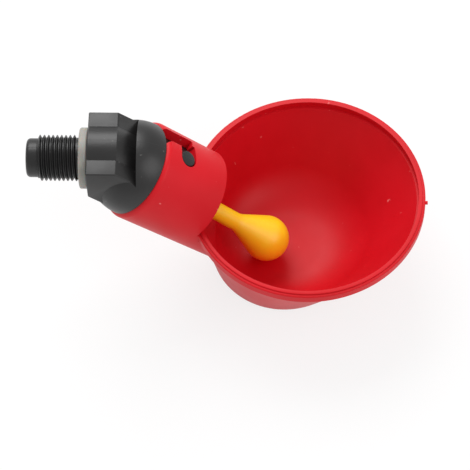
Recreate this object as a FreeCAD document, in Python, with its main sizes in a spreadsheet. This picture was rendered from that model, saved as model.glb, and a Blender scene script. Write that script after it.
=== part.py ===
import FreeCAD, Part
import math
import os
import Sketcher

# A poultry drinking cup: a moulded cup with its sloping neck, hung by a bayonet on a threaded
# elbow that holds a small water valve. A bird pushes the trigger to let water into the bowl.
#
# Frame: the origin is on the thread's axis at the washer's free face, where the water line's
# fitting seats. The thread points to -X, the bowl lies to +X, +Z is up and XZ is the plane of
# symmetry of the mouldings. The washer bears on the elbow's shoulder. The neck falls away at
# neck_angle, and what lies on its axis is drawn with Z along the neck from the flange plane.

doc = FreeCAD.newDocument("drinking_cup")

SIZES = [
    # thread and grip
    ("thread_len", 11.2, "washer face to thread tip"),
    ("thread_dia", 9.728, "major diameter of the G1/8 thread"),
    ("tip_dia", 8.2, "plain pilot in front of the thread"),
    ("tip_len", 2.3, "length of the pilot"),
    ("tip_round", 0.8, "rounding of the pilot's end"),
    ("relief_dia", 8.7, "relief between the thread and the shoulder"),
    ("inlet_bore", 4.6, "water way through the thread"),
    ("grip_dia", 14.2, "round back of the grip"),
    ("grip_wide", 15.7, "across the grip's two flat cheeks"),
    ("grip_top", 5.7, "thread axis up to the cheeks' flat tops"),
    ("grip_low", 5.7, "neck axis down to the cheeks' undersides"),
    ("grip_len", 6.3, "length of the grip's level run"),
    ("grip_bevel", 0.3, "bevel of the cheeks' free ends"),
    # elbow, dome and spigot
    ("neck_angle", 42.0, "fall of the neck below the thread axis"),
    ("elbow_reach", 5.4, "shoulder to the corner of the two axes"),
    ("flange_reach", 5.7, "that corner to the flange plane"),
    ("dome_dia", 20.6, "dome that covers the neck's mouth"),
    ("dome_edge", 10.4, "shoulder to the dome's upper edge"),
    ("run_end", 1.0, "flange plane back to the cheeks' end in the dome"),
    ("spigot_dia", 17.4, "spigot inside the neck"),
    ("spigot_len", 12.5, "flange plane to the spigot's end"),
    ("spigot_round", 0.3, "rounded edge of the spigot's end"),
    ("peg_dia", 3.5, "bayonet pegs"),
    ("peg_reach", 5.8, "flange plane to the pegs' axis"),
    ("peg_span", 21.3, "across the tops of the two pegs"),
    ("peg_round", 0.25, "rounded edges of the pegs' tops"),
    # valve
    ("chamber_dia", 12.4, "valve chamber in the spigot"),
    ("chamber_floor", 0.4, "flange plane to the chamber's floor"),
    ("feed_bore", 4.4, "water way from the corner to the chamber"),
    ("bush_seat", 3.0, "depth of the bush inside the chamber"),
    ("bush_gap", 0.02, "bush to the chamber's wall"),
    ("bush_lip_dia", 15.0, "lip of the bush on the spigot's end"),
    ("bush_lip_len", 1.2, "thickness of that lip"),
    ("outlet_dia", 6.8, "hole of the bush beside the seal"),
    ("outlet_flare", 9.2, "the same hole at the outlet"),
    ("seal_thick", 1.4, "thickness of the seal ring"),
    ("seal_gap", 0.1, "seal ring to the chamber's wall"),
    ("seat_dia", 7.2, "circle on which the head seals"),
    ("head_ball", 4.9, "radius of the head's rounded underside"),
    ("head_rim", 0.9, "thickness of the head's rim"),
    ("head_dia", 9.5, "trigger head"),
    ("head_gap", 0.02, "film between the head and the seal"),
    ("boss_dia", 3.6, "boss that centres the spring"),
    ("boss_len", 1.2, "length of that boss"),
    ("wire_dia", 0.45, "valve spring wire"),
    ("coil_dia", 5.3, "valve spring, mean diameter"),
    ("coil_halves", 8, "half turns of the valve spring"),
    ("spring_gap", 0.05, "spring to the head"),
    # trigger
    ("stem_dia", 3.9, "trigger stem"),
    ("bulb_dia", 10.0, "ball end of the trigger"),
    ("bulb_reach", 36.9, "flange plane to the ball's centre"),
    ("flare_half", 22.3, "half angle of the flare to the ball"),
    ("flare_round", 4.0, "blend of the stem into the flare"),
    ("lean", 3.6, "sideways lean of the trigger at rest"),
    # cup
    ("neck_dia", 21.76, "neck at its mouth"),
    ("neck_draft", 1.06, "draft of the neck's outside"),
    ("neck_round", 1.2, "rounding of the mouth"),
    ("neck_blend", 3.0, "blend of the neck into the bowl's outside"),
    ("neck_clear", 0.08, "radial play of the spigot in the neck"),
    ("hood_reach", 16.4, "mouth to the end of the hood in the bowl"),
    ("neck_bury", 32.0, "mouth to the neck's root in the bowl"),
    ("rim_reach", 46.0, "shoulder to the centre of the rim"),
    ("rim_drop", 14.0, "thread axis down to the rim"),
    ("rim_dia", 50.5, "outside of the collar"),
    ("collar_high", 1.95, "height of the collar"),
    ("bead_dia", 49.3, "outside of the bead on the rim"),
    ("bead_high", 0.3, "height of the bead above the collar"),
    ("lip_dia", 47.7, "inside of the rim"),
    ("lip_deep", 1.4, "collar top to the ledge under the lip"),
    ("lip_ledge", 0.4, "width of that ledge"),
    ("wall_dia", 48.6, "bowl outside under the collar"),
    ("floor_dia", 31.0, "bowl outside at its floor"),
    ("floor_shift", 5.3, "shift of the floor towards the neck"),
    ("bowl_deep", 22.4, "collar top to the underside"),
    ("wall_thick", 1.45, "wall of the bowl"),
    ("floor_round", 1.6, "rounding of the underside"),
    ("sump_round", 1.6, "rounding of the floor inside"),
    ("slot_play", 0.2, "play of the peg in its slot"),
    ("slot_turn", 23.0, "turn from the slot's closed end to its way in"),
    ("slot_flare", 0.65, "widening of the way in at the mouth"),
    ("slot_flare_len", 1.5, "length of that widening"),
    ("collar_round", 0.25, "rounded upper edge of the collar"),
    ("bead_round", 0.12, "rounded edge of the bead"),
    ("gate_dia", 0.8, "gate mark on the rim"),
    ("gate_side", 1.3, "gate mark to the plane of symmetry"),
    ("gate_drop", 0.5, "gate mark below the collar's top"),
    ("gate_stand", 0.45, "how far the gate mark stands out"),
    # thread washer
    ("washer_dia", 12.9, "sealing washer on the thread"),
    ("washer_thick", 1.8, "thickness of the washer"),
    ("washer_play", 0.1, "radial play on the thread"),
    ("washer_round", 0.35, "rounded edges of the washer"),
]

sizes = doc.addObject("Spreadsheet::Sheet", "Sizes")
for row, (name, value, note) in enumerate(SIZES, 1):
    sizes.set("A%d" % row, name)
    sizes.set("B%d" % row, str(value))
    sizes.setAlias("B%d" % row, name)
    sizes.set("C%d" % row, note)

# Places worked out from the sizes: the flange plane's centre, the same point and the neck's axis
# as the cup's own frame sees them, and the stations of the valve along the neck.
PLACES = [
    ("shoulder", "Sizes.washer_thick"),
    ("elbow_x", "Sizes.washer_thick + Sizes.elbow_reach"),
    ("flange_x", "Sizes.washer_thick + Sizes.elbow_reach"
                 " + Sizes.flange_reach * cos(Sizes.neck_angle)"),
    ("flange_z", "-Sizes.flange_reach * sin(Sizes.neck_angle)"),
    ("grip_end", "Sizes.washer_thick + Sizes.grip_len"),
    ("run_top", "Sizes.grip_top * cos(Sizes.neck_angle)"
                " - (Sizes.elbow_reach - Sizes.grip_len) * sin(Sizes.neck_angle)"),
    ("cheek_low", "Sizes.elbow_reach * tan(Sizes.neck_angle) - Sizes.grip_low / cos(Sizes.neck_angle)"),
    ("neck_turn", "90 + Sizes.neck_angle"),
    ("mouth_x", "Sizes.elbow_reach + Sizes.flange_reach * cos(Sizes.neck_angle) - Sizes.rim_reach"),
    ("mouth_z", "Sizes.rim_drop - Sizes.flange_reach * sin(Sizes.neck_angle)"),
    ("bore_rad", "Sizes.spigot_dia / 2 + Sizes.neck_clear"),
    ("slot_half", "Sizes.peg_dia / 2 + Sizes.slot_play"),
    ("bush_in", "Sizes.spigot_len - Sizes.bush_seat"),
    ("seal_in", "Sizes.spigot_len - Sizes.bush_seat - Sizes.seal_thick"),
    ("seat_reach", "sqrt(Sizes.head_ball ^ 2 - Sizes.seat_dia ^ 2 / 4)"),
    ("pivot", "Sizes.spigot_len - Sizes.bush_seat - 0.55 * Sizes.seal_thick"
              " - sqrt(Sizes.head_ball ^ 2 - Sizes.seat_dia ^ 2 / 4)"),
]
places = doc.addObject("Spreadsheet::Sheet", "Places")
for row, (name, formula) in enumerate(PLACES, 1):
    places.set("A%d" % row, name)
    places.set("B%d" % row, "=" + formula)
    places.setAlias("B%d" % row, name)
doc.recompute()


def new_body(label):
    body = doc.addObject("PartDesign::Body", label)
    body.Label = label
    return body


def origin_plane(body, role):
    for plane in body.Origin.OriginFeatures:
        if plane.Role == role:
            return plane
    raise ValueError(role)


def attach(feature, plane, shift=None, turn=None):
    # shift holds expressions for the offset in the plane's own axes, turn is (axis, expression)
    feature.AttachmentSupport = [(plane, "")]
    feature.MapMode = "FlatFace"
    if turn:
        feature.AttachmentOffset = FreeCAD.Placement(FreeCAD.Vector(), FreeCAD.Rotation(turn[0], 90))
        feature.setExpression("AttachmentOffset.Rotation.Angle", turn[1])
    for axis, expression in (shift or {}).items():
        feature.setExpression("AttachmentOffset.Base." + axis, expression)


def bind(feature, **expressions):
    for name, expression in expressions.items():
        feature.setExpression(name, expression)
    return feature


def new_sketch(body, name, role, shift=None, turn=None):
    sketch = body.newObject("Sketcher::SketchObject", name)
    attach(sketch, origin_plane(body, role), shift, turn)
    return sketch


def worth(expression):
    # what an expression over the two sheets comes to, in mm or degrees
    return float(places.evalExpression(expression))


def pin_point(sketch, number, spot, x, y=None):
    # holds a point of one geometry at (x, y) from the sketch's origin, by an axis where that is zero
    for kind, expression, axis in (("DistanceX", x, -2), ("DistanceY", y, -1)):
        if expression == "0":
            sketch.addConstraint(Sketcher.Constraint("PointOnObject", number, spot, axis))
        elif expression:
            held = Sketcher.Constraint(kind, -1, 1, number, spot, worth(expression))
            sketch.setExpression("Constraints[%d]" % sketch.addConstraint(held), expression)


def polygon(sketch, corners, arc=None):
    # a closed outline whose corners are pairs of expressions. arc = (side, centre) makes the side
    # that starts at that corner an arc about that centre.
    points = [FreeCAD.Vector(worth(x), worth(y), 0) for x, y in corners]
    count = len(points)
    for i in range(count):
        start, end = points[i], points[(i + 1) % count]
        side = Part.LineSegment(start, end)
        if arc and arc[0] == i:
            centre = FreeCAD.Vector(worth(arc[1][0]), worth(arc[1][1]), 0)
            round_line = Part.Circle(centre, FreeCAD.Vector(0, 0, 1), centre.distanceToPoint(start))
            side = Part.ArcOfCircle(round_line, round_line.parameter(start), round_line.parameter(end))
        sketch.addGeometry(side, False)
    for i in range(count):
        sketch.addConstraint(Sketcher.Constraint("Coincident", i, 2, (i + 1) % count, 1))
    for i, (x, y) in enumerate(corners):
        pin_point(sketch, i, 1, x, y)
    if arc:
        pin_point(sketch, arc[0], 3, arc[1][0])
    return sketch


def circle(sketch, radius, x="0"):
    # a circle on the sketch's X axis
    centre = FreeCAD.Vector(worth(x), 0, 0)
    ring = Part.Circle(centre, FreeCAD.Vector(0, 0, 1), worth(radius))
    number = sketch.addGeometry(ring, False)
    pin_point(sketch, number, 3, x, "0")
    held = sketch.addConstraint(Sketcher.Constraint("Radius", number, worth(radius)))
    sketch.setExpression("Constraints[%d]" % held, radius)
    return sketch


def turned(body, name, sketch, axis="H_Axis", kind="PartDesign::Revolution"):
    feature = body.newObject(kind, name)
    feature.Profile = sketch
    feature.ReferenceAxis = (sketch, [axis])
    feature.Angle = 360
    return feature


def primitive(body, kind, name, shift=None, turn=None, **expressions):
    feature = body.newObject("PartDesign::" + kind, name)
    attach(feature, origin_plane(body, "XY_Plane"), shift, turn)
    return bind(feature, **expressions)


def edges_of(shape, test):
    return ["Edge%d" % number for number, edge in enumerate(shape.Edges, 1) if test(edge)]


def dress(body, kind, name, test, size):
    # a fillet or chamfer on those edges of the body's tip that the test picks
    doc.recompute()
    base = body.Tip
    names = edges_of(base.Shape, test)
    feature = body.newObject("PartDesign::" + kind, name)
    feature.Base = (base, names)
    feature.setExpression("Radius" if kind == "Fillet" else "Size", size)
    return feature


def is_ring(edge, radius, centre=None):
    # a circle of that radius, and with that centre where one is given
    if edge.Degenerated or not isinstance(edge.Curve, Part.Circle):
        return False
    curve = edge.Curve
    if abs(curve.Radius - radius) > 1e-3:
        return False
    return centre is None or curve.Center.distanceToPoint(centre) < 1e-3


def size(name):
    return float(sizes.get(name))


def place(name):
    return float(places.get(name))


SIDEWAYS = FreeCAD.Vector(0, 1, 0)
TO_X = (SIDEWAYS, "90")
TO_NECK = (SIDEWAYS, "Places.neck_turn")
TO_CROWN = (SIDEWAYS, "Sizes.neck_angle")


def along_neck(reach, x="Places.flange_x", z="Places.flange_z", rise="0"):
    # the point at that reach from the flange plane and at that height over the neck's axis
    return {
        "x": "%s + (%s) * cos(Sizes.neck_angle) + (%s) * sin(Sizes.neck_angle)" % (x, reach, rise),
        "z": "%s - (%s) * sin(Sizes.neck_angle) + (%s) * cos(Sizes.neck_angle)" % (z, reach, rise),
    }


def set_on_neck(thing, reach="0"):
    # puts a piece that is drawn along its own Z on the neck's axis
    thing.Placement = FreeCAD.Placement(FreeCAD.Vector(), FreeCAD.Rotation(SIDEWAYS, 90))
    thing.setExpression("Placement.Rotation.Angle", "Places.neck_turn")
    for axis, expression in along_neck(reach).items():
        thing.setExpression("Placement.Base." + axis, expression)


def make_connector():
    body = new_body("connector")
    dome = primitive(body, "AdditiveSphere", "dome", along_neck("0"), TO_NECK,
                     Radius="Sizes.dome_dia / 2")
    dome.Angle2 = 0
    primitive(body, "SubtractiveCylinder", "shoulder", {"x": "Places.shoulder - Sizes.dome_dia"}, TO_X,
              Radius="Sizes.dome_dia", Height="Sizes.dome_dia")
    # above the cheeks' tops the dome starts at an upright edge
    saddle = body.newObject("PartDesign::Pocket", "saddle")
    fall = "(Sizes.dome_edge - Sizes.grip_len) * tan(Sizes.neck_angle)"
    edge_x = "Places.shoulder + Sizes.dome_edge"
    saddle.Profile = polygon(new_sketch(body, "saddle_outline", "XZ_Plane"), [
        (edge_x, "Sizes.grip_top - %s" % fall),
        (edge_x, "Sizes.grip_top + Sizes.dome_dia / 2"),
        ("Places.grip_end - Sizes.dome_dia / 2 / tan(Sizes.neck_angle)",
         "Sizes.grip_top + Sizes.dome_dia / 2"),
    ])
    saddle.Midplane = True
    saddle.Type = "ThroughAll"
    tail = polygon(new_sketch(body, "tail_outline", "XZ_Plane"), [
        ("-Sizes.thread_len", "0"),
        ("-Sizes.thread_len", "Sizes.tip_dia / 2"),
        ("-Sizes.thread_len + Sizes.tip_len", "Sizes.tip_dia / 2"),
        ("-Sizes.thread_len + Sizes.tip_len + (Sizes.thread_dia - Sizes.tip_dia) / 2",
         "Sizes.thread_dia / 2"),
        ("0", "Sizes.thread_dia / 2"),
        ("0", "Sizes.relief_dia / 2"),
        ("Places.shoulder + Sizes.grip_len / 2", "Sizes.relief_dia / 2"),
        ("Places.shoulder + Sizes.grip_len / 2", "0"),
    ])
    turned(body, "tail", tail)
    tip = FreeCAD.Vector(-size("thread_len"), 0, 0)
    dress(body, "Fillet", "tip_rounding",
          lambda edge: is_ring(edge, size("tip_dia") / 2, tip), "Sizes.tip_round")

    end = along_neck("-Sizes.run_end", rise="Places.run_top")
    low_end = along_neck("-Sizes.run_end", rise="-Sizes.grip_low")
    grip = body.newObject("PartDesign::Pad", "cheeks")
    grip.Profile = polygon(new_sketch(body, "cheek_outline", "XZ_Plane"), [
        ("Places.shoulder", "Places.cheek_low"),
        ("Places.shoulder", "Sizes.grip_top"),
        ("Places.grip_end", "Sizes.grip_top"),
        (end["x"], end["z"]),
        (low_end["x"], low_end["z"]),
    ])
    grip.Midplane = True
    bind(grip, Length="Sizes.grip_wide")
    shoulder, side = place("shoulder"), size("grip_wide") / 2
    dress(body, "Chamfer", "cheek_bevels",
          lambda edge: not edge.Degenerated and isinstance(edge.Curve, Part.Line)
          and edge.BoundBox.XMax - shoulder < 1e-6
          and (abs(edge.BoundBox.ZMin - size("grip_top")) < 1e-6
               or min(abs(edge.BoundBox.YMin - side), abs(edge.BoundBox.YMax + side)) < 1e-6),
          "Sizes.grip_bevel")
    primitive(body, "AdditiveCylinder", "grip_back", {"x": "Places.shoulder"}, TO_X,
              Radius="Sizes.grip_dia / 2", Height="Sizes.grip_len")
    # the same round back runs on at a slant, along the neck, until it is inside the dome
    run = body.newObject("PartDesign::Pad", "grip_run")
    outline = new_sketch(body, "run_outline", "YZ_Plane", {"z": "Places.grip_end"})
    run.Profile = circle(outline, "Sizes.grip_dia / 2")
    run.UseCustomVector = True
    run.AlongSketchNormal = False
    run.Direction = FreeCAD.Vector(1, 0, -1)
    run.setExpression("Direction.x", "cos(Sizes.neck_angle)")
    run.setExpression("Direction.z", "-sin(Sizes.neck_angle)")
    bind(run, Length="Sizes.grip_len")

    primitive(body, "AdditiveCylinder", "spigot", along_neck("0"), TO_NECK,
              Radius="Sizes.spigot_dia / 2", Height="Sizes.spigot_len")
    spot = along_neck("Sizes.spigot_len")
    spigot_end = FreeCAD.Vector(worth(spot["x"]), 0, worth(spot["z"]))
    dress(body, "Fillet", "spigot_rounding",
          lambda edge: is_ring(edge, size("spigot_dia") / 2, spigot_end), "Sizes.spigot_round")
    primitive(body, "AdditiveCylinder", "pegs",
              along_neck("Sizes.peg_reach", rise="-Sizes.peg_span / 2"), TO_CROWN,
              Radius="Sizes.peg_dia / 2", Height="Sizes.peg_span")
    dress(body, "Fillet", "peg_rounding",
          lambda edge: is_ring(edge, size("peg_dia") / 2), "Sizes.peg_round")

    primitive(body, "SubtractiveCylinder", "chamber", along_neck("Sizes.chamber_floor"), TO_NECK,
              Radius="Sizes.chamber_dia / 2", Height="Sizes.spigot_len")
    primitive(body, "SubtractiveCylinder", "feed", along_neck("-Sizes.flange_reach"), TO_NECK,
              Radius="Sizes.feed_bore / 2", Height="Sizes.flange_reach + Sizes.spigot_len")
    primitive(body, "SubtractiveCylinder", "inlet", {"x": "-Sizes.thread_len - 1"}, TO_X,
              Radius="Sizes.inlet_bore / 2",
              Height="Sizes.thread_len + 1 + Places.elbow_x + Sizes.feed_bore / 2")
    return body


def make_washer():
    body = new_body("thread_washer")
    outline = polygon(new_sketch(body, "washer_outline", "XZ_Plane"), [
        ("0", "Sizes.thread_dia / 2 + Sizes.washer_play"),
        ("0", "Sizes.washer_dia / 2"),
        ("Places.shoulder", "Sizes.washer_dia / 2"),
        ("Places.shoulder", "Sizes.thread_dia / 2 + Sizes.washer_play"),
    ])
    turned(body, "ring", outline)
    dress(body, "Fillet", "soft_edges", lambda edge: is_ring(edge, size("washer_dia") / 2),
          "Sizes.washer_round")
    return body


def make_bush():
    body = new_body("seat_bush")
    outline = polygon(new_sketch(body, "bush_outline", "XZ_Plane"), [
        ("Sizes.outlet_dia / 2", "Places.bush_in"),
        ("Sizes.chamber_dia / 2 - Sizes.bush_gap", "Places.bush_in"),
        ("Sizes.chamber_dia / 2 - Sizes.bush_gap", "Sizes.spigot_len"),
        ("Sizes.bush_lip_dia / 2", "Sizes.spigot_len"),
        ("Sizes.bush_lip_dia / 2", "Sizes.spigot_len + Sizes.bush_lip_len"),
        ("Sizes.outlet_flare / 2", "Sizes.spigot_len + Sizes.bush_lip_len"),
    ])
    turned(body, "bush", outline, "V_Axis")
    set_on_neck(body)
    return body


def make_seal():
    # the inner edge is bevelled square to the ball's radius at the sealing circle
    body = new_body("seat_seal")
    rise = "(%s - Sizes.seat_dia / 2) * Sizes.seat_dia / 2 / Places.seat_reach"
    contact = "Places.pivot + Places.seat_reach + Sizes.head_gap"
    inner = "Sizes.outlet_dia / 2"
    top = "Sizes.seat_dia / 2 + (%s - Places.seal_in) * Places.seat_reach * 2 / Sizes.seat_dia" % contact
    outline = polygon(new_sketch(body, "seal_outline", "XZ_Plane"), [
        (inner, "%s - %s" % (contact, rise % inner)),
        (top, "Places.seal_in"),
        ("Sizes.chamber_dia / 2 - Sizes.seal_gap", "Places.seal_in"),
        ("Sizes.chamber_dia / 2 - Sizes.seal_gap", "Places.bush_in"),
        (inner, "Places.bush_in"),
    ])
    turned(body, "seal", outline, "V_Axis")
    set_on_neck(body)
    return body


def make_trigger():
    # drawn along its own Z from the pivot, which is the centre of the head's rounded underside
    body = new_body("trigger")
    rim = "sqrt(Sizes.head_ball ^ 2 - Sizes.head_dia ^ 2 / 4)"
    reach = "(Sizes.bulb_reach - Places.pivot)"
    tangent = "Sizes.bulb_dia / 2 * cos(Sizes.flare_half)"
    flare = "(%s - Sizes.stem_dia / 2) / tan(Sizes.flare_half)" % tangent
    flare_start = "%s - Sizes.bulb_dia / 2 * sin(Sizes.flare_half) - %s" % (reach, flare)
    head = primitive(body, "AdditiveSphere", "head", Radius="Sizes.head_ball")
    head.Angle1 = 0
    primitive(body, "SubtractiveCylinder", "head_flat", Radius="Sizes.head_ball + 1", Height=rim)
    primitive(body, "AdditiveCylinder", "head_rim", {"z": "%s - Sizes.head_rim" % rim},
              Radius="Sizes.head_dia / 2", Height="Sizes.head_rim")
    primitive(body, "AdditiveCylinder", "boss",
              {"z": "%s - Sizes.head_rim - Sizes.boss_len" % rim},
              Radius="Sizes.boss_dia / 2", Height="Sizes.boss_len + Sizes.head_rim")
    primitive(body, "AdditiveCylinder", "stem", {"z": rim},
              Radius="Sizes.stem_dia / 2", Height="%s - %s" % (flare_start, rim))
    primitive(body, "AdditiveCone", "flare", {"z": flare_start},
              Radius1="Sizes.stem_dia / 2", Radius2=tangent, Height=flare)
    primitive(body, "AdditiveSphere", "bulb", {"z": reach}, Radius="Sizes.bulb_dia / 2")
    dress(body, "Fillet", "flare_blend",
          lambda edge: is_ring(edge, size("stem_dia") / 2) and edge.BoundBox.ZMin > size("head_ball") + 3,
          "Sizes.flare_round")
    spot = along_neck("Places.pivot")
    body.setExpression("Placement", "placement(vector(%s; 0; %s); rotation(vector(0; 1; 0); %s) * %s)"
                       % (spot["x"], spot["z"], "Places.neck_turn",
                          "rotation(vector(1; 0; 0); Sizes.lean)"))
    return body


def make_spring():
    # half turns, each a flat half ring that rises by half the pitch, meet with the same tangent
    halves = int(size("coil_halves"))
    rim = "sqrt(Sizes.head_ball ^ 2 - Sizes.head_dia ^ 2 / 4)"
    head_top = "(Places.pivot + %s - Sizes.head_rim)" % rim
    free = "%s - Sizes.chamber_floor - Sizes.wire_dia - 2 * Sizes.spring_gap" % head_top
    rise = "((%s) / Sizes.coil_halves)" % free
    turns = []
    for k in range(halves):
        half = doc.addObject("Part::Torus", "half_turn_%d" % k)
        half.Angle3 = 180
        bind(half, Radius1="sqrt(Sizes.coil_dia ^ 2 + %s ^ 2) / 2" % rise,
             Radius2="Sizes.wire_dia / 2")
        tip = "atan(%s / Sizes.coil_dia)" % rise
        half.setExpression(
            "Placement", "placement(vector(0; 0; %s * %.1f); rotation(vector(0; 1; 0); %s%s)"
            " * rotation(vector(0; 0; 1); %d))" % (rise, k + 0.5, "-" if k % 2 else "", tip,
                                                   180 * (k % 2)))
        turns.append(half)
    spring = doc.addObject("Part::MultiFuse", "valve_spring")
    spring.Label = "valve_spring"
    spring.Shapes = turns
    set_on_neck(spring, "Sizes.chamber_floor + Sizes.wire_dia / 2 + Sizes.spring_gap")
    return spring


def make_cup():
    body = new_body("cup")
    here = {"x": "Places.mouth_x", "z": "Places.mouth_z"}

    def loft(kind, name, floor, top):
        # the bowl narrows to a floor that is shifted towards the neck
        rings = []
        for part, (radius, level, shift) in (("floor", floor), ("top", top)):
            ring = new_sketch(body, "%s_%s" % (name, part), "XY_Plane", {"z": level})
            rings.append(circle(ring, radius, shift))
        feature = body.newObject(kind, name)
        feature.Profile = rings[1]
        feature.Sections = [rings[0]]
        return feature

    def neck_cone(name, start, end):
        radius = "Sizes.neck_dia / 2 - (%s) * tan(Sizes.neck_draft)"
        return primitive(body, "AdditiveCone", name, along_neck(start, **here), TO_NECK,
                         Radius1=radius % start, Radius2=radius % end,
                         Height="%s - (%s)" % (end, start))

    def neck_cut(name, outline, length, turn, outwards=False):
        # a pocket from a plane that is turned to the neck
        sketch = new_sketch(body, name + "_outline", "XY_Plane")
        offset = along_neck("0", **here)
        sketch.setExpression("AttachmentOffset", "placement(vector(%s; 0; %s); %s)"
                             % (offset["x"], offset["z"], turn))
        outline(sketch)
        cut = body.newObject("PartDesign::Pocket", name)
        cut.Profile = sketch
        cut.Reversed = outwards
        return bind(cut, Length=length), sketch

    # the bowl, and the neck's underside where it runs on along the bowl's wall
    loft("PartDesign::AdditiveLoft", "bowl",
         ("Sizes.floor_dia / 2", "-Sizes.bowl_deep", "-Sizes.floor_shift"),
         ("Sizes.wall_dia / 2", "-Sizes.collar_high", "0"))
    deep = -size("bowl_deep")
    dress(body, "Fillet", "underside_rounding",
          lambda edge: abs(edge.BoundBox.ZMax - deep) < 1e-3, "Sizes.floor_round")
    neck_cone("trough", "Sizes.hood_reach / 4", "Sizes.neck_bury")
    near_neck = -size("floor_dia") / 2
    dress(body, "Fillet", "neck_blending",
          lambda edge: not edge.Degenerated and isinstance(edge.Curve, Part.BSplineCurve)
          and edge.BoundBox.XMax < near_neck, "Sizes.neck_blend")
    primitive(body, "SubtractiveCylinder", "level", Radius="Sizes.rim_dia",
              Height="Sizes.neck_dia")

    # the rim
    primitive(body, "AdditiveCylinder", "collar", {"z": "-Sizes.collar_high"},
              Radius="Sizes.rim_dia / 2", Height="Sizes.collar_high")
    primitive(body, "AdditiveCylinder", "bead", {"z": "0"},
              Radius="Sizes.bead_dia / 2", Height="Sizes.bead_high")
    dress(body, "Fillet", "collar_rounding",
          lambda edge: is_ring(edge, size("rim_dia") / 2) and edge.BoundBox.ZMin > -1e-3,
          "Sizes.collar_round")
    dress(body, "Fillet", "bead_rounding",
          lambda edge: is_ring(edge, size("bead_dia") / 2)
          and edge.BoundBox.ZMin > size("bead_high") / 2, "Sizes.bead_round")
    primitive(body, "AdditiveCylinder", "gate",
              {"x": "0", "y": "-Sizes.gate_side", "z": "-Sizes.gate_drop"}, TO_X,
              Radius="Sizes.gate_dia / 2", Height="Sizes.rim_dia / 2 + Sizes.gate_stand")
    loft("PartDesign::SubtractiveLoft", "hollow",
         ("Sizes.floor_dia / 2 - Sizes.wall_thick", "-Sizes.bowl_deep + Sizes.wall_thick",
          "-Sizes.floor_shift"),
         ("Sizes.lip_dia / 2 - Sizes.lip_ledge", "-Sizes.lip_deep", "0"))
    sump = -size("bowl_deep") + size("wall_thick")
    dress(body, "Fillet", "floor_rounding",
          lambda edge: max(abs(edge.BoundBox.ZMax - sump), abs(edge.BoundBox.ZMin - sump)) < 1e-3,
          "Sizes.sump_round")
    primitive(body, "SubtractiveCylinder", "lip", {"z": "-Sizes.lip_deep"},
              Radius="Sizes.lip_dia / 2", Height="Sizes.lip_deep + Sizes.bead_high + 1")

    # the neck, with the hood that it forms inside the bowl
    neck_cone("neck", "0", "Sizes.hood_reach")
    mouth = FreeCAD.Vector(place("mouth_x"), 0, place("mouth_z"))
    dress(body, "Fillet", "mouth_rounding",
          lambda edge: is_ring(edge, size("neck_dia") / 2, mouth), "Sizes.neck_round")
    neck_cut("bore", lambda sketch: circle(sketch, "Places.bore_rad"), "Sizes.neck_bury",
             "rotation(vector(0; 1; 0); Places.neck_turn)", True)

    # the bayonet slot: a closed end that holds the peg, and the way in beside it. The corner
    # between them is one arc as wide as the slot, which leads the peg round as the cup goes on.
    half = "Places.slot_half"

    def closed_end(sketch):
        polygon(sketch, [("Sizes.peg_reach - " + half, "0"),
                         ("Sizes.peg_reach + " + half, "0"),
                         ("Sizes.peg_reach + " + half, "2 * " + half),
                         ("Sizes.peg_reach - " + half, "2 * " + half)])

    def peg_seat(sketch):
        circle(sketch, half, "Sizes.peg_reach")

    def way_in(sketch):
        polygon(sketch, [("-1", "-" + half + " - Sizes.slot_flare"),
                         ("0", "-" + half + " - Sizes.slot_flare"),
                         ("Sizes.slot_flare_len", "-" + half),
                         ("Sizes.peg_reach + " + half, "-" + half),
                         ("Sizes.peg_reach - " + half, half),
                         ("-1", half)],
                (3, ("Sizes.peg_reach - " + half, "-" + half)))

    crown = "rotation(vector(0; 1; 0); Sizes.neck_angle)"
    cuts = []
    axis = None
    for name, outline, turn in (
            ("slot_leg", closed_end, crown), ("slot_seat", peg_seat, crown),
            ("slot_entry", way_in, crown + " * rotation(vector(1; 0; 0); -Sizes.slot_turn)")):
        cut, sketch = neck_cut(name, outline, "Sizes.neck_dia / 2 + 1", turn, True)
        cuts.append(cut)
        axis = axis or sketch
    doc.recompute()
    both = body.newObject("PartDesign::PolarPattern", "slots")
    both.Originals = cuts
    both.Axis = (axis, ["H_Axis"])
    both.Angle = 360
    both.Occurrences = 2
    body.Tip = both
    body.setExpression("Placement.Base.x", "Places.shoulder + Sizes.rim_reach")
    body.setExpression("Placement.Base.z", "-Sizes.rim_drop")
    return body


pieces = [make_connector(), make_washer(), make_bush(), make_seal(), make_trigger(),
          make_spring(), make_cup()]
doc.recompute()
failed = [thing.Name for thing in doc.Objects
          if "Invalid" in thing.State or "Error" in thing.State]
if failed:
    raise RuntimeError("not built: " + ", ".join(failed))
for piece in pieces:
    if piece.Shape.isNull() or not piece.Shape.isValid():
        raise RuntimeError(piece.Label + " has no valid shape")
os.makedirs("parts", exist_ok=True)
for piece in pieces:
    piece.Shape.exportStep("parts/%s.step" % piece.Label)
    print(piece.Label, len(piece.Shape.Solids), round(piece.Shape.Volume, 1))
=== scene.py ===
import math
import bpy
from mathutils import Matrix, Vector


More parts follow.
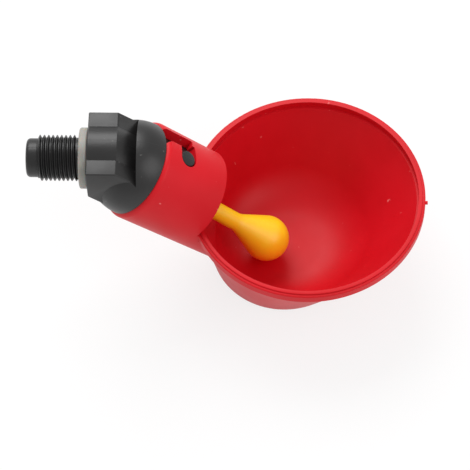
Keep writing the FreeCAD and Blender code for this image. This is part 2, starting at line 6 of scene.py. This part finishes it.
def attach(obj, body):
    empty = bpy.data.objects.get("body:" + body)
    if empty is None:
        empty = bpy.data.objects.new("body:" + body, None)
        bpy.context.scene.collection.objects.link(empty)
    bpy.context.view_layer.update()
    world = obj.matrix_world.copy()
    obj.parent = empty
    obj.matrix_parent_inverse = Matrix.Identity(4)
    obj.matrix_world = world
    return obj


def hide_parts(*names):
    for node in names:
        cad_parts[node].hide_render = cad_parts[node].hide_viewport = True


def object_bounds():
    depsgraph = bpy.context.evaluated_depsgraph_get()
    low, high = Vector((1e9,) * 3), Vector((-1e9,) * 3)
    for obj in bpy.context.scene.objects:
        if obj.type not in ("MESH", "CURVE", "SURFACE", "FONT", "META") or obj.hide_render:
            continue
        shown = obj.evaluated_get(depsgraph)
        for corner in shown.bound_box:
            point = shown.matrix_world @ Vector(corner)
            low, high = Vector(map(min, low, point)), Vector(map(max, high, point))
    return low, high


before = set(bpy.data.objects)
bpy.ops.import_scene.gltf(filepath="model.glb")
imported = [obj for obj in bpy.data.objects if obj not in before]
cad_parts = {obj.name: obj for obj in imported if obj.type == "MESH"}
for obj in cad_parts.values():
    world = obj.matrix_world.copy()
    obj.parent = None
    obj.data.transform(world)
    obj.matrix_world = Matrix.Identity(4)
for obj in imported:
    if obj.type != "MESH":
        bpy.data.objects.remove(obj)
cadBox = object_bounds()
print("frame loaded")

mm = 0.001
neckFall = 42.0                                # the neck's fall below the thread, in degrees
flange = Vector((11.4359, 0.0, -3.8140)) * mm  # centre of the plane where cup and elbow meet
pivot = Vector((15.4533, 0.0, -7.4313)) * mm   # centre of the trigger's rounded head
rimCentre = Vector((47.8, 0.0, -14.0)) * mm    # centre of the bowl's rim
mergeWithin = 1e-7                             # metres


def deselectAll():
    if bpy.context.object and bpy.context.object.mode != "OBJECT":
        bpy.ops.object.mode_set(mode="OBJECT")
    bpy.ops.object.select_all(action="DESELECT")


def activate(piece):
    deselectAll()
    piece.select_set(True)
    bpy.context.view_layer.objects.active = piece


def settle(piece, place, turn=(0, 0, 0)):      # moves a piece to its place, kept in its mesh
    activate(piece)
    piece.location = place
    piece.rotation_euler = [math.radians(angle) for angle in turn]
    bpy.ops.object.transform_apply(location=True, rotation=True, scale=True)
    return piece


def onNeck(piece):                             # turns +Z along the neck, from the flange on
    return settle(piece, flange, (0, 90 + neckFall, 0))


def ringStack(name, rings, segments, tube=False):
    # rings of (z, radius, x shift) in mm, extruded one from the other; a tube's ends are joined
    deselectAll()
    z, radius, shift = (tuple(rings[0]) + (0,))[:3]
    bpy.ops.mesh.primitive_circle_add(vertices=segments, radius=radius * mm,
                                      location=(shift * mm, 0, z * mm))
    piece = bpy.context.object
    piece.name = piece.data.name = name
    bpy.ops.object.transform_apply(location=True, rotation=True, scale=True)
    bpy.ops.object.mode_set(mode="EDIT")
    bpy.ops.mesh.select_mode(type="EDGE")
    bpy.ops.mesh.select_all(action="SELECT")
    if not tube:
        bpy.ops.mesh.edge_face_add()
    for ring in rings[1:]:
        nextZ, nextRadius, nextShift = (tuple(ring) + (0,))[:3]
        bpy.ops.mesh.extrude_edges_move(TRANSFORM_OT_translate={
            "value": ((nextShift - shift) * mm, 0, (nextZ - z) * mm)})
        grow = nextRadius / radius
        bpy.ops.transform.resize(value=(grow, grow, 1),
                                 center_override=(nextShift * mm, 0, nextZ * mm))
        z, radius, shift = nextZ, nextRadius, nextShift
    if not tube:
        bpy.ops.mesh.edge_face_add()
    bpy.ops.mesh.select_all(action="SELECT")
    bpy.ops.mesh.remove_doubles(threshold=mergeWithin)
    bpy.ops.mesh.normals_make_consistent(inside=False)
    bpy.ops.object.mode_set(mode="OBJECT")
    return piece


def arc(z, radius, size, start, end, steps):   # points of a rounding about (z, radius)
    turns = [math.radians(start + (end - start) * k / steps) for k in range(steps + 1)]
    return [(z + size * math.sin(a), radius + size * math.cos(a)) for a in turns]


def drawnPlate(name, corners, low, high):
    # an outline of (x, y) corners in mm, filled at one height and raised to the other
    deselectAll()
    bpy.ops.mesh.primitive_circle_add(vertices=len(corners), radius=1 * mm)
    plate = bpy.context.object
    plate.name = plate.data.name = name
    for vertex, (x, y) in zip(plate.data.vertices, corners):
        vertex.co = (x * mm, y * mm, low * mm)
    bpy.ops.object.mode_set(mode="EDIT")
    bpy.ops.mesh.select_all(action="SELECT")
    bpy.ops.mesh.edge_face_add()
    bpy.ops.mesh.extrude_region_move(TRANSFORM_OT_translate={"value": (0, 0, (high - low) * mm)})
    bpy.ops.mesh.select_all(action="SELECT")
    bpy.ops.mesh.normals_make_consistent(inside=False)
    bpy.ops.object.mode_set(mode="OBJECT")
    return plate


def combine(piece, tool, how):
    activate(piece)
    step = piece.modifiers.new(how.lower(), "BOOLEAN")
    step.operation, step.solver, step.object = how, "EXACT", tool
    bpy.ops.object.modifier_apply(modifier=step.name)
    bpy.data.objects.remove(tool)


def smooth(piece, angle):
    activate(piece)
    bpy.ops.object.shade_smooth_by_angle(angle=math.radians(angle))
    return piece


# materials
textureDetail = {"cloud": 4, "fleck": 2, "smear": 6, "grain": 3}
cloudEdges = (0.3, 0.7)


def moulded(name, look):
    # moulded plastic or rubber: a base colour with soft cloudy variation, fine texture and gloss
    material = bpy.data.materials.new(name)
    material.use_nodes = True
    nodes, links = material.node_tree.nodes, material.node_tree.links
    shader = nodes["Principled BSDF"]
    for socket, value in look["sockets"].items():
        shader.inputs[socket].default_value = value
    where = nodes.new("ShaderNodeTexCoord")
    cloud = nodes.new("ShaderNodeTexNoise")
    cloud.inputs["Scale"].default_value = look["cloudScale"]
    cloud.inputs["Detail"].default_value = textureDetail["cloud"]
    links.new(where.outputs["Object"], cloud.inputs["Vector"])
    tint = nodes.new("ShaderNodeValToRGB")
    for stop, position, shade in zip(tint.color_ramp.elements, cloudEdges, ("deep", "light")):
        stop.position, stop.color = position, (*look[shade], 1)
    links.new(cloud.outputs["Fac"], tint.inputs["Fac"])
    colour = tint.outputs["Color"]
    if "fleck" in look:                        # small pale marks of wear and dust
        spots = nodes.new("ShaderNodeTexNoise")
        spots.inputs["Scale"].default_value = look["fleckScale"]
        spots.inputs["Detail"].default_value = textureDetail["fleck"]
        links.new(where.outputs["Object"], spots.inputs["Vector"])
        edge = nodes.new("ShaderNodeMapRange")
        edge.inputs["From Min"].default_value = look["fleckFrom"]
        edge.inputs["From Max"].default_value = look["fleckFrom"] + look["fleckSoft"]
        edge.inputs["To Max"].default_value = look["fleckShare"]
        links.new(spots.outputs["Fac"], edge.inputs["Value"])
        mix = nodes.new("ShaderNodeMix")
        mix.data_type = "RGBA"
        mix.inputs["B"].default_value = (*look["fleck"], 1)
        links.new(edge.outputs["Result"], mix.inputs["Factor"])
        links.new(colour, mix.inputs["A"])
        colour = mix.outputs["Result"]
    links.new(colour, shader.inputs["Base Color"])
    gloss = nodes.new("ShaderNodeMapRange")
    gloss.inputs["To Min"].default_value, gloss.inputs["To Max"].default_value = look["roughness"]
    smear = nodes.new("ShaderNodeTexNoise")
    smear.inputs["Scale"].default_value = look["smearScale"]
    smear.inputs["Detail"].default_value = textureDetail["smear"]
    links.new(where.outputs["Object"], smear.inputs["Vector"])
    links.new(smear.outputs["Fac"], gloss.inputs["Value"])
    links.new(gloss.outputs["Result"], shader.inputs["Roughness"])
    grain = nodes.new("ShaderNodeTexNoise")
    grain.inputs["Scale"].default_value = look["grainScale"]
    grain.inputs["Detail"].default_value = textureDetail["grain"]
    links.new(where.outputs["Object"], grain.inputs["Vector"])
    bump = nodes.new("ShaderNodeBump")
    bump.inputs["Strength"].default_value = look["bump"]
    bump.inputs["Distance"].default_value = look["bumpDepth"] * mm
    height = grain.outputs["Fac"]
    if "seam" in look:                         # the raised line where the mould's halves met
        axes = nodes.new("ShaderNodeSeparateXYZ")
        links.new(where.outputs["Object"], axes.inputs["Vector"])
        off = nodes.new("ShaderNodeMath")
        off.operation = "ABSOLUTE"
        links.new(axes.outputs["Y"], off.inputs[0])
        line = nodes.new("ShaderNodeMapRange")
        line.inputs["From Min"].default_value = look["seamHalf"] * mm
        line.inputs["From Max"].default_value = look["seamFoot"] * mm
        line.inputs["To Min"].default_value, line.inputs["To Max"].default_value = look["seam"], 0
        links.new(off.outputs["Value"], line.inputs["Value"])
        both = nodes.new("ShaderNodeMath")
        both.operation = "ADD"
        links.new(height, both.inputs[0])
        links.new(line.outputs["Result"], both.inputs[1])
        height = both.outputs["Value"]
    links.new(height, bump.inputs["Height"])
    links.new(bump.outputs["Normal"], shader.inputs["Normal"])
    return material


redLook = {
    "deep": (0.56, 0.003, 0.008), "light": (0.64, 0.005, 0.013),
    "cloudScale": 60, "smearScale": 180, "grainScale": 1400,
    "roughness": (0.38, 0.52), "bump": 0.12, "bumpDepth": 0.06,
    "sockets": {"IOR": 1.45, "Specular IOR Level": 0.28},
    "fleck": (0.85, 0.25, 0.24), "fleckScale": 620, "fleckFrom": 0.735, "fleckSoft": 0.05,
    "fleckShare": 0.6,
}
blackLook = {
    "deep": (0.006, 0.006, 0.006), "light": (0.014, 0.013, 0.013),
    "cloudScale": 90, "smearScale": 260, "grainScale": 2200,
    "roughness": (0.30, 0.46), "bump": 0.25, "bumpDepth": 0.05,
    "sockets": {"IOR": 1.5},
    "fleck": (0.16, 0.16, 0.15), "fleckScale": 760, "fleckFrom": 0.72, "fleckSoft": 0.05,
    "fleckShare": 0.6, "seam": 1.4, "seamHalf": 0.04, "seamFoot": 0.11,
}
yellowLook = {
    "deep": (0.98, 0.55, 0.010), "light": (1.0, 0.64, 0.014),
    "cloudScale": 70, "smearScale": 200, "grainScale": 1600,
    "roughness": (0.28, 0.42), "bump": 0.10, "bumpDepth": 0.05,
    "sockets": {"IOR": 1.49, "Subsurface Weight": 0.12, "Subsurface Scale": 0.002},
}
washerLook = {
    "deep": (0.26, 0.25, 0.23), "light": (0.38, 0.37, 0.33),
    "cloudScale": 160, "smearScale": 300, "grainScale": 1800,
    "roughness": (0.40, 0.58), "bump": 0.2, "bumpDepth": 0.05,
    "sockets": {"IOR": 1.42, "Subsurface Weight": 0.3, "Subsurface Scale": 0.002},
}
bushLook = {
    "deep": (0.60, 0.60, 0.56), "light": (0.72, 0.72, 0.69),
    "cloudScale": 90, "smearScale": 260, "grainScale": 1800,
    "roughness": (0.32, 0.46), "bump": 0.12, "bumpDepth": 0.04,
    "sockets": {"IOR": 1.48},
}
sealLook = {
    "deep": (0.012, 0.012, 0.012), "light": (0.03, 0.03, 0.03),
    "cloudScale": 200, "smearScale": 400, "grainScale": 2600,
    "roughness": (0.5, 0.7), "bump": 0.3, "bumpDepth": 0.03,
    "sockets": {"IOR": 1.5},
}
wireLook = {
    "deep": (0.52, 0.52, 0.53), "light": (0.66, 0.66, 0.66),
    "cloudScale": 300, "smearScale": 600, "grainScale": 3000,
    "roughness": (0.18, 0.32), "bump": 0.15, "bumpDepth": 0.01,
    "sockets": {"Metallic": 1.0},
}
redPlastic = moulded("redPlastic", redLook)
blackPlastic = moulded("blackPlastic", blackLook)
yellowPlastic = moulded("yellowPlastic", yellowLook)
washerRubber = moulded("washerRubber", washerLook)
bushPlastic = moulded("bushPlastic", bushLook)
sealRubber = moulded("sealRubber", sealLook)
springWire = moulded("springWire", wireLook)
print("materials made")


def dress(piece, material, body, slot, *nodes):  # the nodes are those that the piece stands for
    piece.data.materials.clear()
    piece.data.materials.append(material)
    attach(piece, body)
    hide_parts(*nodes)


# cup; in the size dictionaries, lengths are in mm and angles in degrees
cupSize = {
    "deep": 22.4, "wall": 1.45, "floorRadius": 15.5, "floorShift": -5.3, "lip": 23.85, "ledge": 0.4,
    "lipDeep": 1.4, "dish": 300.0, "blend": 11.0, "skin": 0.02, "lining": 0.7, "underLedge": 0.05,
    "dishStart": -89.9, "dishSteps": 12, "blendSteps": 32,
    "bore": 8.78, "boreBefore": 1, "bury": 32.0, "segments": 256,
    "pegReach": 5.8, "slotHalf": 1.97, "slotTurn": 23.0, "flare": 0.65, "flareLong": 1.5,
    "cutLow": 5, "cutHigh": 14, "cutBefore": 1, "cornerSteps": 12, "slotSegments": 64,
}


def cadCopy(node, name):                       # a merged copy of a node's mesh, to be worked on
    piece = bpy.data.objects.new(name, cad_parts[node].data.copy())
    bpy.context.scene.collection.objects.link(piece)
    piece.data.name = name
    activate(piece)
    bpy.ops.mesh.customdata_custom_splitnormals_clear()
    bpy.ops.object.mode_set(mode="EDIT")
    bpy.ops.mesh.select_all(action="SELECT")
    bpy.ops.mesh.remove_doubles(threshold=mergeWithin)
    bpy.ops.object.mode_set(mode="OBJECT")
    return piece


def bowlLining(size):
    # a thin lining that gives the bowl its nearly flat floor, blended into the wall by one wide arc
    low, high = size["floorRadius"] - size["wall"], size["lip"] - size["ledge"]
    floor, top = size["wall"] - size["deep"], -size["lipDeep"]
    slope = (high - low) / (top - floor)
    tilt = math.atan(slope)
    dish, blend, thick = size["dish"], size["blend"], size["lining"]
    near, lift = low - blend * math.cos(tilt), blend * math.sin(tilt)
    b = slope * near + lift - dish
    c = near ** 2 + (lift - dish) ** 2 - (dish - blend) ** 2
    climb = (-b - math.sqrt(b * b - (1 + slope ** 2) * c)) / (1 + slope ** 2)
    centre, level = near + slope * climb, lift + climb
    turn = math.degrees(math.atan2(centre, dish - level))
    inside = [(z + floor + size["skin"], radius - size["skin"]) for z, radius in
              arc(dish, 0, dish, size["dishStart"], -90 + turn, size["dishSteps"])
              + arc(level, centre, blend, -90 + turn, -math.degrees(tilt), size["blendSteps"])[1:]]
    under = size["underLedge"]
    inside.append((top - under, high - slope * under - size["skin"]))
    outside = [(floor - thick, low), (floor, low + thick), (top - under, high + thick)]
    return [(z, radius, size["floorShift"] * (top - z) / (top - floor))
            for z, radius in outside + inside[::-1]]


def onCrown(piece, side):                      # stands a piece drawn on XY over the neck's crown
    settle(piece, (0, 0, 0), (side, 0, 0))
    return settle(piece, flange, (0, neckFall, 0))


def slotCuts(size):
    # solids that cut the bayonet slot: x along the neck, z out through its wall
    half, reach = size["slotHalf"], size["pegReach"]
    low, high = size["cutLow"], size["cutHigh"]
    before, steps = -size["cutBefore"], size["cornerSteps"]
    seat = ringStack("slotSeat", [(low, half, reach), (high, half, reach)], size["slotSegments"])
    leg = drawnPlate("slotLeg", [(reach - half, 0), (reach + half, 0), (reach + half, 2 * half),
                                 (reach - half, 2 * half)], low, high)
    # the way in: flared at the mouth, with a round far corner
    corner = [(before, -half - size["flare"]), (0, -half - size["flare"]),
              (size["flareLong"], -half), (reach - half, -half)]
    corner += [(reach - half + 2 * half * math.sin(a), half - 2 * half * math.cos(a))
               for a in [math.radians(90 * k / steps) for k in range(1, steps + 1)]]
    corner += [(before, half)]
    entry = drawnPlate("slotEntry", corner, low, high)
    settle(entry, (0, 0, 0), (-size["slotTurn"], 0, 0))
    return [seat, leg, entry]


def makeCup(size):
    cup = cadCopy("cup", "cupShell")
    lining = settle(ringStack("lining", bowlLining(size), size["segments"]), rimCentre)
    bore = [(-size["boreBefore"], size["bore"]), (size["bury"], size["bore"])]
    combine(lining, onNeck(ringStack("bore", bore, size["segments"])), "DIFFERENCE")
    combine(cup, lining, "UNION")
    for side in (0, 180):
        for slotPart in slotCuts(size):
            combine(cup, onCrown(slotPart, side), "DIFFERENCE")
    return smooth(cup, 32)


cup = makeCup(cupSize)
dress(cup, redPlastic, "cup", "red_plastic", "cup")
print("cup made", len(cup.data.vertices))

# connector
elbowSize = {
    "tip": -11.2, "tipRadius": 4.1, "tipLong": 2.3, "tipRound": 0.8, "tipStep": 0.15,
    "tailSunk": 2, "tailSegments": 128,
    "major": 4.864, "minor": 4.283, "pitch": 0.907, "threadStart": -9.2, "threadEnd": -0.35,
    "ridgeSunk": 0.25, "crestRound": 0.1, "ridgeSteps": 72,
    "ridgeFoot": 0.47, "ridgeRoot": 0.40, "crestEdge": 0.13, "crest": 0.04,  # shares of the pitch
    "shoulder": 1.8, "back": 7.1, "backEdge": 0.25, "backSegments": 192,
    "cheek": 7.85, "top": 5.7, "low": 5.7, "gripLong": 6.3, "edge": 0.22,
    "dome": 10.3, "domeEdge": 10.4, "domeSteps": 48, "domeSegments": 192, "runEnd": 1.0,
    "clearHigh": 16, "clearWide": 14, "clearBefore": 9,
    "spigot": 8.7, "spigotLong": 12.5, "spigotSunk": 0.5, "spigotRound": 0.3,
    "spigotSegments": 160,
    "peg": 1.75, "pegReach": 5.8, "pegTop": 10.65, "pegRound": 0.25, "pegSegments": 64,
    "chamber": 6.2, "chamberFloor": 0.4, "chamberSegments": 96,
    "feed": 2.2, "inlet": 2.3, "inletBefore": 1, "elbow": 7.2, "reach": 5.7, "through": 14,
    "boreSegments": 64,
}


def onThread(piece, start=0.0):                # turns +Z along the thread's axis towards the bowl
    return settle(piece, (start * mm, 0, 0), (0, 90, 0))


def uprightPlate(name, corners, half, edge=0.0):
    # an outline of (x, z) corners in mm, raised to both sides of the plane of symmetry
    plate = drawnPlate(name, corners, -half, half)
    if edge:
        bpy.ops.object.mode_set(mode="EDIT")
        bpy.ops.mesh.select_all(action="SELECT")
        bpy.ops.mesh.bevel(offset=edge * mm, segments=3, affect="EDGES")
        bpy.ops.object.mode_set(mode="OBJECT")
    return settle(plate, (0, 0, 0), (90, 0, 0))


def makeThread(size):
    # one ridge wound along the tail with the screw modifier, over a core of the root diameter
    pitch, low = size["pitch"], size["minor"] - size["ridgeSunk"]
    flank = [(low, size["ridgeFoot"]), (size["minor"], size["ridgeRoot"]),
             (size["major"] - size["crestRound"], size["crestEdge"]),
             (size["major"], size["crest"])]
    outline = [(out, -z) for out, z in flank] + flank[::-1]
    deselectAll()
    bpy.ops.mesh.primitive_circle_add(vertices=len(outline), radius=1 * mm)
    ridge = bpy.context.object
    for vertex, (out, z) in zip(ridge.data.vertices, outline):
        vertex.co = (out * mm, 0, z * pitch * mm)
    start = size["threadStart"]
    wind = ridge.modifiers.new("wind", "SCREW")
    wind.axis, wind.screw_offset = "Z", pitch * mm
    wind.iterations = int((size["threadEnd"] - start) / pitch)
    wind.steps = wind.render_steps = size["ridgeSteps"]
    activate(ridge)
    bpy.ops.object.modifier_apply(modifier=wind.name)
    bpy.ops.object.mode_set(mode="EDIT")
    bpy.ops.mesh.select_all(action="SELECT")
    bpy.ops.mesh.fill_holes(sides=0)
    bpy.ops.mesh.normals_make_consistent(inside=False)
    bpy.ops.object.mode_set(mode="OBJECT")
    return onThread(ridge, start + pitch / 2)


def makeGrip(size):
    # a round back between two flat cheeks; both run on at a slant into the dome
    fall = math.radians(neckFall)
    front, end = size["shoulder"], size["shoulder"] + size["gripLong"]

    def onFlange(reach, rise):                 # (x, z) of a point given along and over the neck
        return (flange.x / mm + reach * math.cos(fall) + rise * math.sin(fall),
                flange.z / mm - reach * math.sin(fall) + rise * math.cos(fall))

    over = (end - size["elbow"]) * math.sin(fall) + size["top"] * math.cos(fall)
    under = ((size["elbow"] - front) * math.sin(fall) - size["low"]) / math.cos(fall)
    grip = uprightPlate("grip", [(front, under), onFlange(-size["runEnd"], -size["low"]),
                                 onFlange(-size["runEnd"], over), (end, size["top"]),
                                 (front, size["top"])], size["cheek"], size["edge"])
    back, long, bevel = size["back"], size["gripLong"], size["backEdge"]
    rings = [(0, back - bevel), (bevel, back), (long, back),
             (long + long * math.cos(fall), back, long * math.sin(fall))]
    combine(grip, onThread(ringStack("gripBack", rings, size["backSegments"]), front), "UNION")
    return grip


def makeDome(size):
    # half a ball behind the flange, level with the shoulder and cut to an upright edge on top
    steps = size["domeSteps"]
    ball = [(-size["dome"] * math.cos(a), size["dome"] * math.sin(a))
            for a in [math.radians(90 * k / steps) for k in range(1, steps + 1)]]
    dome = onNeck(ringStack("dome", ball, size["domeSegments"]))
    front, edge = size["shoulder"], size["shoulder"] + size["domeEdge"]
    drop = math.tan(math.radians(neckFall))
    level = size["top"] - (size["domeEdge"] - size["gripLong"]) * drop
    high, wide, before = size["clearHigh"], size["clearWide"], size["clearBefore"]
    wedge = uprightPlate("wedge", [(edge, level), (edge, high),
                                   (edge - (high - level) / drop, high)], wide)
    combine(dome, wedge, "DIFFERENCE")
    block = uprightPlate("block", [(front - before, -high), (front, -high), (front, high),
                                   (front - before, high)], wide)
    combine(dome, block, "DIFFERENCE")
    return dome


def makeConnector(size):
    front = size["shoulder"]
    tail = (arc(size["tip"] + size["tipRound"], size["tipRadius"] - size["tipRound"],
                size["tipRound"], -90, 0, 5)
            + [(size["tip"] + size["tipLong"], size["tipRadius"]),
               (size["tip"] + size["tipLong"] + size["tipStep"], size["minor"]),
               (0, size["minor"]), (front + size["tailSunk"], size["minor"])])
    body = onThread(ringStack("elbowBody", tail, size["tailSegments"]))
    combine(body, makeGrip(size), "UNION")
    combine(body, makeDome(size), "UNION")
    bevel = size["spigotRound"]
    spigot = [(-size["spigotSunk"], size["spigot"]), (size["spigotLong"] - bevel, size["spigot"]),
              (size["spigotLong"], size["spigot"] - bevel)]
    combine(body, onNeck(ringStack("spigot", spigot, size["spigotSegments"])), "UNION")
    tip = size["pegRound"]
    peg = (arc(-size["pegTop"] + tip, size["peg"] - tip, tip, -90, 0, 3)
           + arc(size["pegTop"] - tip, size["peg"] - tip, tip, 0, 90, 3))
    pegs = ringStack("pegs", [(z, radius, size["pegReach"]) for z, radius in peg],
                     size["pegSegments"])
    combine(body, settle(pegs, flange, (0, neckFall, 0)), "UNION")

    through = size["through"]
    chamber = ringStack("chamber", [(size["chamberFloor"], size["chamber"]),
                                    (through, size["chamber"])], size["chamberSegments"])
    combine(body, onNeck(chamber), "DIFFERENCE")
    feed = ringStack("feed", [(-size["reach"], size["feed"]), (through, size["feed"])],
                     size["boreSegments"])
    combine(body, onNeck(feed), "DIFFERENCE")
    inlet = ringStack("inlet", [(size["tip"] - size["inletBefore"], size["inlet"]),
                                (size["elbow"] + size["feed"], size["inlet"])],
                      size["boreSegments"])
    combine(body, onThread(inlet), "DIFFERENCE")

    ridge = makeThread(size)
    activate(body)
    ridge.select_set(True)
    bpy.ops.object.join()
    return smooth(body, 30)


connector = makeConnector(elbowSize)
dress(connector, blackPlastic, "connector", "black_plastic", "connector")
print("connector made", len(connector.data.vertices))

# washer
washerSize = {"inner": 4.964, "outer": 6.45, "thick": 1.8, "round": 0.35, "segments": 128}


def makeWasher(size):
    r = size["round"]
    outline = ([(0, size["inner"])] + arc(r, size["outer"] - r, r, -90, 0, 4)
               + arc(size["thick"] - r, size["outer"] - r, r, 0, 90, 4)
               + [(size["thick"], size["inner"]), (0, size["inner"])])
    return smooth(onThread(ringStack("washerRing", outline, size["segments"], tube=True)), 40)


washer = makeWasher(washerSize)
dress(washer, washerRubber, "connector", "washer_rubber", "thread_washer")
print("washer made")

# trigger
triggerSize = {
    "headBall": 4.9, "head": 4.75, "headRim": 0.9, "boss": 1.8, "bossLong": 1.2, "bossEdge": 0.15,
    "stem": 1.95, "bulb": 5.0, "bulbReach": 31.494, "bulbEnd": 88, "flare": 22.3,
    "flareRound": 4.0, "lean": 3.6, "segments": 128,
}


def makeTrigger(size):
    ball, stem, bulb, reach = size["headBall"], size["stem"], size["bulb"], size["bulbReach"]
    rim = math.sqrt(ball ** 2 - size["head"] ** 2)
    bevel = size["bossEdge"]
    outline = [(rim - size["headRim"] - size["bossLong"], size["boss"] - bevel),
               (rim - size["headRim"] - size["bossLong"] + bevel, size["boss"]),
               (rim - size["headRim"], size["boss"]), (rim - size["headRim"], size["head"]),
               (rim, size["head"])]
    outline += arc(0, 0, ball, math.degrees(math.asin(rim / ball)),
                   math.degrees(math.acos(stem / ball)), 16)[1:]
    half = math.radians(size["flare"])
    tangent = bulb * math.cos(half)
    flareStart = reach - bulb * math.sin(half) - (tangent - stem) / math.tan(half)
    back = size["flareRound"] * math.tan(half / 2)
    outline += arc(flareStart - back, stem + size["flareRound"], size["flareRound"],
                   180, 180 - size["flare"], 6)
    outline += arc(reach, 0, bulb, -size["flare"], size["bulbEnd"], 40)
    trigger = ringStack("triggerLever", outline, size["segments"])
    return smooth(settle(trigger, pivot, (size["lean"], 90 + neckFall, 0)), 40)


trigger = makeTrigger(triggerSize)
dress(trigger, yellowPlastic, "trigger", "yellow_plastic", "trigger")
print("trigger made")

for node, material in (("seat_bush", bushPlastic), ("seat_seal", sealRubber),
                       ("valve_spring", springWire)):
    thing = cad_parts[node]
    thing.data.materials.clear()
    thing.data.materials.append(material)
print("inner pieces given their finishes")

# floor, light and camera
stageLook = {"floor": 0.9, "roughness": 0.9, "glow": 0.78, "world": 0.66, "size": 20, "gap": 0.2}

deselectAll()
bpy.ops.mesh.primitive_plane_add(
    size=stageLook["size"], location=(rimCentre.x, 0, cadBox[0][2] - stageLook["gap"] * mm))
floor = bpy.context.object
floor.name = "floor"

floorPaint = bpy.data.materials.new("paleFloor")
floorPaint.use_nodes = True
nodes, links = floorPaint.node_tree.nodes, floorPaint.node_tree.links
paint = nodes["Principled BSDF"]
paint.inputs["Base Color"].default_value = (stageLook["floor"],) * 3 + (1,)
paint.inputs["Roughness"].default_value = stageLook["roughness"]
glow = nodes.new("ShaderNodeEmission")         # most of what the camera sees of the floor is white
path = nodes.new("ShaderNodeLightPath")
rays = nodes.new("ShaderNodeMath")
rays.operation = "ADD"
links.new(path.outputs["Is Camera Ray"], rays.inputs[0])
links.new(path.outputs["Is Glossy Ray"], rays.inputs[1])
share = nodes.new("ShaderNodeMath")
share.operation = "ADD"
links.new(rays.outputs["Value"], share.inputs[0])
links.new(path.outputs["Is Transmission Ray"], share.inputs[1])
part = nodes.new("ShaderNodeMath")
part.operation, part.use_clamp = "MULTIPLY", True
part.inputs[1].default_value = stageLook["glow"]
links.new(share.outputs["Value"], part.inputs[0])
mixed = nodes.new("ShaderNodeMixShader")
links.new(part.outputs["Value"], mixed.inputs["Fac"])
links.new(paint.outputs["BSDF"], mixed.inputs[1])
links.new(glow.outputs["Emission"], mixed.inputs[2])
links.new(mixed.outputs["Shader"], nodes["Material Output"].inputs["Surface"])
floor.data.materials.append(floorPaint)

world = bpy.data.worlds.new("studio")
bpy.context.scene.world = world
world.use_nodes = True
world.node_tree.nodes["Background"].inputs["Color"].default_value = (1, 1, 1, 1)
world.node_tree.nodes["Background"].inputs["Strength"].default_value = stageLook["world"]

lightLook = {                                  # lengths in metres
    "back": {"angle": 40, "side": -20, "far": 0.65, "size": 0.46, "level": 4.6},
    "right": {"angle": 48, "side": 118, "far": 0.6, "size": 0.4, "level": 1.9},
}
lightTarget = Vector((0.03, 0, -0.015))


def softLight(name, look):
    # a square light aimed at the cup: its angle from straight up, and the side it stands on
    tip, turn = math.radians(look["angle"]), math.radians(look["side"])
    size = look["size"]
    place = lightTarget + look["far"] * Vector((
        math.sin(tip) * math.sin(turn), math.sin(tip) * math.cos(turn), math.cos(tip)))
    deselectAll()
    bpy.ops.object.light_add(type="AREA", location=place)
    lamp = bpy.context.object
    lamp.name = name
    lamp.data.size = size
    lamp.data.energy = look["level"] * math.pi * size ** 2
    lamp.rotation_euler = (lightTarget - place).to_track_quat("-Z", "Y").to_euler()


for name, look in lightLook.items():
    softLight(name, look)
print("floor and lights set")

cameraLook = {"azimuth": 3.381, "elevation": 58.576, "roll": -2.386, "distance": 600.0,
              "shiftX": -15.512, "shiftY": -8.472, "focal": 2803.0, "frame": 470,
              "sensor": 36, "clipEnd": 20}


def addCamera(look):
    azimuth, elevation, roll = (math.radians(look[k]) for k in ("azimuth", "elevation", "roll"))
    back = Vector((math.sin(azimuth) * math.cos(elevation),
                   -math.cos(azimuth) * math.cos(elevation), math.sin(elevation)))
    right = Vector((math.cos(azimuth), math.sin(azimuth), 0))
    up = back.cross(right)
    right, up = (math.cos(roll) * right + math.sin(roll) * up,
                 -math.sin(roll) * right + math.cos(roll) * up)
    bpy.ops.object.camera_add()
    camera = bpy.context.object
    camera.rotation_euler = Matrix((right, up, back)).transposed().to_euler()
    camera.location = rimCentre + (back * look["distance"] + right * look["shiftX"]
                                   + up * look["shiftY"]) * mm
    camera.data.sensor_width = look["sensor"]
    camera.data.lens = look["focal"] / look["frame"] * look["sensor"]  # focal is in pixels
    camera.data.clip_end = look["clipEnd"]
    bpy.context.scene.camera = camera


addCamera(cameraLook)
bpy.context.scene.view_settings.view_transform = "Standard"
print("camera set")
